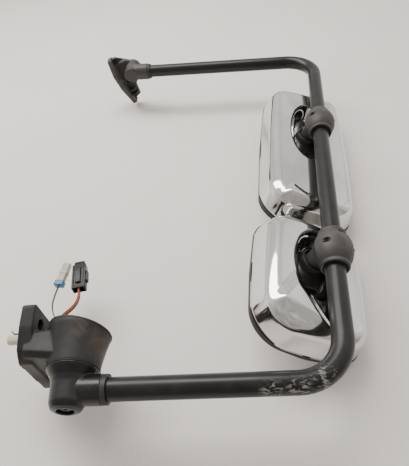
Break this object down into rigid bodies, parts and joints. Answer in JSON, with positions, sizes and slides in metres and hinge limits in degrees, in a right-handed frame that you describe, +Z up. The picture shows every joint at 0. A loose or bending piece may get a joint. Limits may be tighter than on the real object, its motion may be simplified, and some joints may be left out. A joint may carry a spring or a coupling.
{
  "type": "towing mirror",
  "caption": "Towing mirror: a bent tube loop on a breakaway base, with a tall flat mirror head over a smaller convex one, chrome shells and wiring.",
  "frame": {"origin": "centre of the four base bolts on the mounting face of the base", "axes": "+X points outboard, square to the mounting face; +Y points to the rear, the way the glass faces; +Z points up, along the breakaway pivot"},
  "size_m": [0.7606, 0.1877, 1.1738],
  "materials": {
    "cast_black": "satin black coating",
    "base_plastic": "textured, dusty",
    "tube_black": "satin black powder coat, scuffed",
    "steel": "zinc plated",
    "rubber_black": "matt",
    "chrome_shell": "mirror chrome",
    "bezel_black": "fine grain",
    "plate_grey": "moulded",
    "drive_black": "moulded",
    "holder_black": "moulded",
    "bush_brown": "filled nylon",
    "liner_black": "nylon",
    "heater": "film",
    "mirror_glass": "silvered",
    "sleeve_cream": "moulded",
    "gasket_grey": "closed-cell foam",
    "wire_red": "insulation",
    "wire_orange": "insulation",
    "wire_brown": "insulation",
    "wire_violet": "insulation",
    "wire_black": "insulation",
    "wire_cream": "insulation",
    "connector_black": "moulded",
    "connector_grey": "moulded",
    "lock_blue": "moulded"
  },
  "bodies": {
    "base": {"base_casting": "base_plastic", "base_gasket": "gasket_grey", "passage_plug": "rubber_black", "wiring_sleeve": "sleeve_cream", "retaining_hook": "drive_black", "harness_grommet": "rubber_black", "pivot_bolt": "steel", "thrust_washer": "steel", "fixed_detent_ring": "steel", "wire_red": "wire_red", "wire_orange": "wire_orange", "wire_brown": "wire_brown", "wire_violet": "wire_violet", "wire_black": "wire_black", "wire_cream": "wire_cream", "black_connector": "connector_black", "black_connector_latch": "connector_black", "grey_connector": "connector_grey", "blue_lock": "lock_blue"},
    "arm": {"lower_knuckle": "cast_black", "turning_detent_ring": "steel", "swivel_bush": "bush_brown", "detent_spring": "steel", "socket_seal": "rubber_black", "loop_tube": "tube_black", "arm_loom": "rubber_black", "upper_knuckle": "cast_black", "upper_bush": "bush_brown", "upper_socket_seal": "rubber_black", "upper_clamp_liner": "liner_black", "lower_clamp_liner": "liner_black"},
    "bracket": {"upper_bracket": "cast_black", "upper_pivot_pin": "steel"},
    "upper_head": {"upper_clamp_front": "cast_black", "upper_clamp_rear": "cast_black", "upper_clamp_screws": "steel", "upper_shell": "chrome_shell", "upper_bezel": "bezel_black", "upper_mount_plate": "plate_grey", "upper_glass_drive": "drive_black", "upper_drain_grommet": "rubber_black"},
    "lower_head": {"lower_clamp_front": "cast_black", "lower_clamp_rear": "cast_black", "lower_clamp_screws": "steel", "lower_shell": "chrome_shell", "lower_bezel": "bezel_black", "lower_mount_plate": "plate_grey", "lower_glass_drive": "drive_black"},
    "upper_carrier": {"upper_gimbal": "bush_brown"},
    "lower_carrier": {"lower_gimbal": "bush_brown"},
    "upper_mirror": {"upper_glass_holder": "holder_black", "upper_heater_pad": "heater", "upper_glass": "mirror_glass"},
    "lower_mirror": {"lower_glass_holder": "holder_black", "lower_heater_pad": "heater", "lower_glass": "mirror_glass"}
  },
  "joints": [
    {"name": "arm_swivel", "type": "hinge", "parent": "base", "child": "arm", "pos_m": [0.092, -0.03, 0], "axis": [0, 0, 1], "range_deg": [-60, 75]},
    {"name": "bracket_swivel", "type": "hinge", "parent": "arm", "child": "bracket", "pos_m": [0.092, -0.03, 1.01834], "axis": [0, 0, 1], "range_deg": [-60, 60]},
    {"name": "upper_head_turn", "type": "hinge", "parent": "arm", "child": "upper_head", "pos_m": [0.6318, -0.03, 0.58162], "axis": [0.1461, 0, 0.9893], "range_deg": [-25, 25]},
    {"name": "upper_glass_pan", "type": "hinge", "parent": "upper_head", "child": "upper_carrier", "pos_m": [0.58484, 0.0444, 0.54105], "axis": [0.1461, 0, 0.9893], "range_deg": [-5, 5]},
    {"name": "upper_glass_tilt", "type": "hinge", "parent": "upper_carrier", "child": "upper_mirror", "pos_m": [0.58484, 0.0444, 0.54105], "axis": [0.946, 0.2924, -0.1397], "range_deg": [-3.5, 3.5]},
    {"name": "lower_head_turn", "type": "hinge", "parent": "arm", "child": "lower_head", "pos_m": [0.56854, -0.03, 0.15327], "axis": [0.1461, 0, 0.9893], "range_deg": [-25, 25]},
    {"name": "lower_glass_pan", "type": "hinge", "parent": "lower_head", "child": "lower_carrier", "pos_m": [0.5129, 0.03804, 0.12206], "axis": [0.1461, 0, 0.9893], "range_deg": [-5, 5]},
    {"name": "lower_glass_tilt", "type": "hinge", "parent": "lower_carrier", "child": "lower_mirror", "pos_m": [0.5129, 0.03804, 0.12206], "axis": [0.8966, 0.4226, -0.1324], "range_deg": [-5, 5]}
  ]
}
